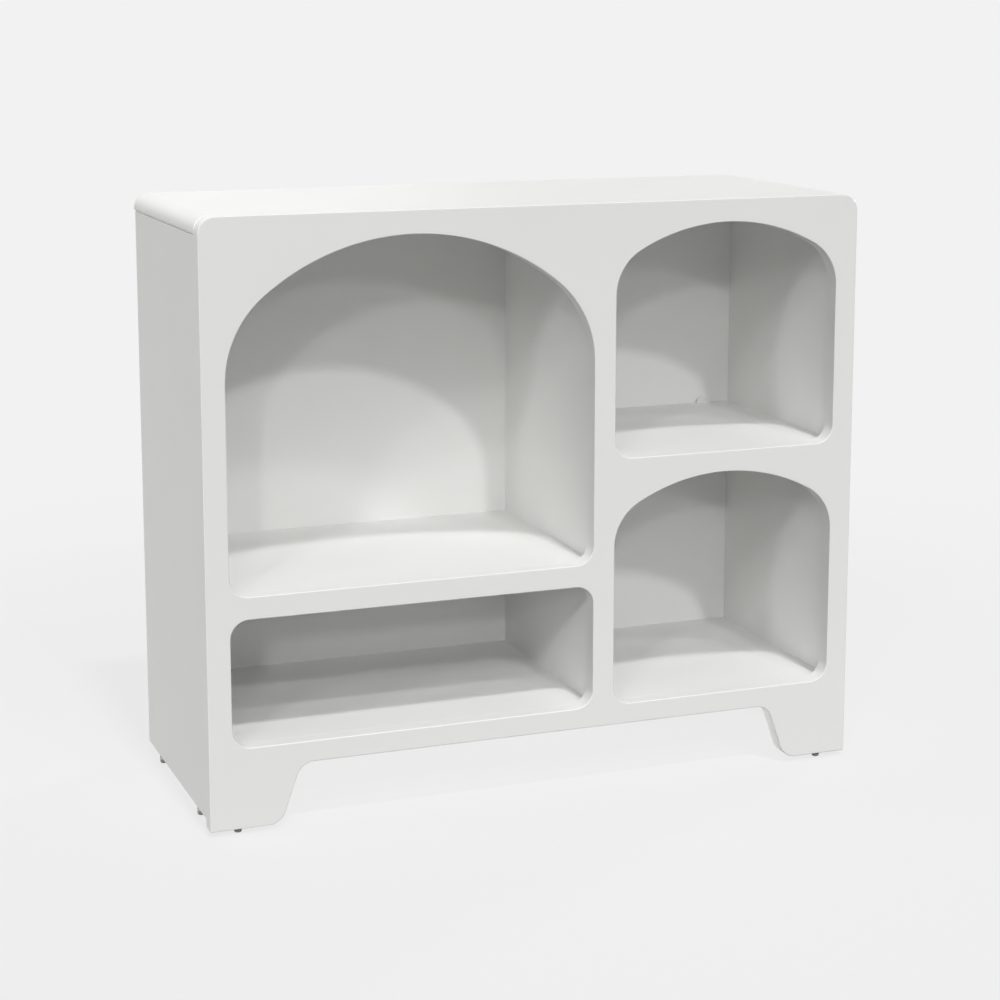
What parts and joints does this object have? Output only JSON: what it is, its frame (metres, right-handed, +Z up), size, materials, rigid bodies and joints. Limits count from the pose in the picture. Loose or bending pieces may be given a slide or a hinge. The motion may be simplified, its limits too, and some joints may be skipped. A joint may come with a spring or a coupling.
{
  "type": "bookcase",
  "caption": "Low white bookcase with a one-piece cut-out front: arched and rounded compartments, shaped legs and screw-in levelling feet.",
  "frame": {"origin": "on the floor plane, under the centre of the bookcase", "axes": "+X to the right seen from the front, +Y to the back, +Z up"},
  "size_m": [1, 0.4, 0.868],
  "materials": {
    "painted_board": "satin white paint on fibreboard",
    "painted_thin_board": "satin white paint on thin fibreboard",
    "white_plastic": "fine matte moulded",
    "zinc_plate": "zinc plated sheet",
    "zinc_screw": "bright zinc plate",
    "die_cast_zinc": "tumbled die casting",
    "beech": "bare fluted beech",
    "brass": "plain",
    "grey_plastic": "matte moulded nylon",
    "zinc_stud": "zinc plated thread"
  },
  "bodies": {
    "carcass": {"front_panel": "painted_board", "top_panel": "painted_board", "left_side_panel": "painted_board", "right_side_panel": "painted_board", "bottom_panel": "painted_board", "centre_divider": "painted_board", "left_shelf": "painted_board", "right_shelf": "painted_board", "back_panel": "painted_thin_board", "back_panel_clip": "white_plastic", "left_wall_bracket": "zinc_plate", "right_wall_bracket": "zinc_plate", "bracket_screws": "zinc_screw", "back_panel_screws": "zinc_screw", "divider_screws": "zinc_screw", "cam_locks": "die_cast_zinc", "cam_bolts": "zinc_screw", "cam_caps": "white_plastic", "dowels": "beech", "threaded_inserts": "brass"},
    "front_left_pad": {"front_left_foot_pad": "grey_plastic"},
    "front_left_stud": {"front_left_foot_stud": "zinc_stud"},
    "front_right_pad": {"front_right_foot_pad": "grey_plastic"},
    "front_right_stud": {"front_right_foot_stud": "zinc_stud"},
    "mid_left_pad": {"mid_left_foot_pad": "grey_plastic"},
    "mid_left_stud": {"mid_left_foot_stud": "zinc_stud"},
    "mid_right_pad": {"mid_right_foot_pad": "grey_plastic"},
    "mid_right_stud": {"mid_right_foot_stud": "zinc_stud"},
    "rear_left_pad": {"rear_left_foot_pad": "grey_plastic"},
    "rear_left_stud": {"rear_left_foot_stud": "zinc_stud"},
    "rear_right_pad": {"rear_right_foot_pad": "grey_plastic"},
    "rear_right_stud": {"rear_right_foot_stud": "zinc_stud"}
  },
  "joints": [
    {"name": "front_left_foot_travel", "type": "slide", "parent": "carcass", "child": "front_left_pad", "axis": [0, 0, -1], "range_m": [0, 0.008]},
    {"name": "front_left_stud_turn", "type": "hinge", "parent": "front_left_pad", "child": "front_left_stud", "pos_m": [-0.458, -0.1875, 0], "axis": [0, 0, -1], "range_deg": [0, 2880]},
    {"name": "front_right_foot_travel", "type": "slide", "parent": "carcass", "child": "front_right_pad", "axis": [0, 0, -1], "range_m": [0, 0.008]},
    {"name": "front_right_stud_turn", "type": "hinge", "parent": "front_right_pad", "child": "front_right_stud", "pos_m": [0.458, -0.1875, 0], "axis": [0, 0, -1], "range_deg": [0, 2880]},
    {"name": "mid_left_foot_travel", "type": "slide", "parent": "carcass", "child": "mid_left_pad", "axis": [0, 0, -1], "range_m": [0, 0.008]},
    {"name": "mid_left_stud_turn", "type": "hinge", "parent": "mid_left_pad", "child": "mid_left_stud", "pos_m": [-0.4895, -0.101, 0], "axis": [0, 0, -1], "range_deg": [0, 2880]},
    {"name": "mid_right_foot_travel", "type": "slide", "parent": "carcass", "child": "mid_right_pad", "axis": [0, 0, -1], "range_m": [0, 0.008]},
    {"name": "mid_right_stud_turn", "type": "hinge", "parent": "mid_right_pad", "child": "mid_right_stud", "pos_m": [0.4895, -0.101, 0], "axis": [0, 0, -1], "range_deg": [0, 2880]},
    {"name": "rear_left_foot_travel", "type": "slide", "parent": "carcass", "child": "rear_left_pad", "axis": [0, 0, -1], "range_m": [0, 0.008]},
    {"name": "rear_left_stud_turn", "type": "hinge", "parent": "rear_left_pad", "child": "rear_left_stud", "pos_m": [-0.4895, 0.14, 0], "axis": [0, 0, -1], "range_deg": [0, 2880]},
    {"name": "rear_right_foot_travel", "type": "slide", "parent": "carcass", "child": "rear_right_pad", "axis": [0, 0, -1], "range_m": [0, 0.008]},
    {"name": "rear_right_stud_turn", "type": "hinge", "parent": "rear_right_pad", "child": "rear_right_stud", "pos_m": [0.4895, 0.14, 0], "axis": [0, 0, -1], "range_deg": [0, 2880]}
  ],
  "couplings": [
    {"joint": "front_left_stud_turn", "follows": "front_left_foot_travel", "rad_per_m": 6283.2},
    {"joint": "front_right_stud_turn", "follows": "front_right_foot_travel", "rad_per_m": 6283.2},
    {"joint": "mid_left_stud_turn", "follows": "mid_left_foot_travel", "rad_per_m": 6283.2},
    {"joint": "mid_right_stud_turn", "follows": "mid_right_foot_travel", "rad_per_m": 6283.2},
    {"joint": "rear_left_stud_turn", "follows": "rear_left_foot_travel", "rad_per_m": 6283.2},
    {"joint": "rear_right_stud_turn", "follows": "rear_right_foot_travel", "rad_per_m": 6283.2}
  ]
}
